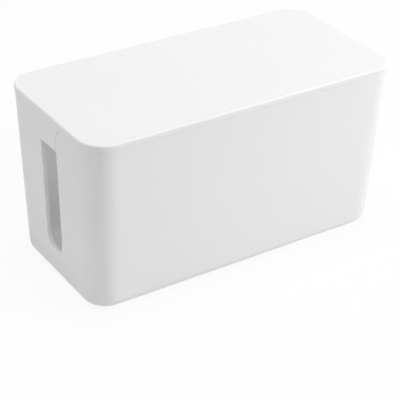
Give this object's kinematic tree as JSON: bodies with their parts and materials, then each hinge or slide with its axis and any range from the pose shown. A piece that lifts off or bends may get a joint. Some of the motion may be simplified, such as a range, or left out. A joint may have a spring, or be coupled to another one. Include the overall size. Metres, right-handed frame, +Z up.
{
  "type": "cable management box",
  "caption": "White plastic cable management box with drafted walls, a cable slot in each end, a lift-off lid and rubber feet.",
  "frame": {"origin": "middle of the footprint, on the surface that the feet stand on", "axes": "+X along the box towards its right-hand cable slot, +Y across it towards the rear long wall, +Z up through the lid"},
  "size_m": [0.236, 0.115, 0.1255],
  "materials": {
    "white_abs": "satin white moulded ABS",
    "foot_rubber": "pale grey soft rubber"
  },
  "bodies": {
    "box": {"box_shell": "white_abs", "foot_front_left": "foot_rubber", "foot_front_right": "foot_rubber", "foot_rear_left": "foot_rubber", "foot_rear_right": "foot_rubber"},
    "lid": {"lid": "white_abs"}
  },
  "joints": [
    {"name": "lid_lift", "type": "slide", "parent": "box", "child": "lid", "axis": [0, 0, 1], "range_m": [0, 0.1]}
  ]
}
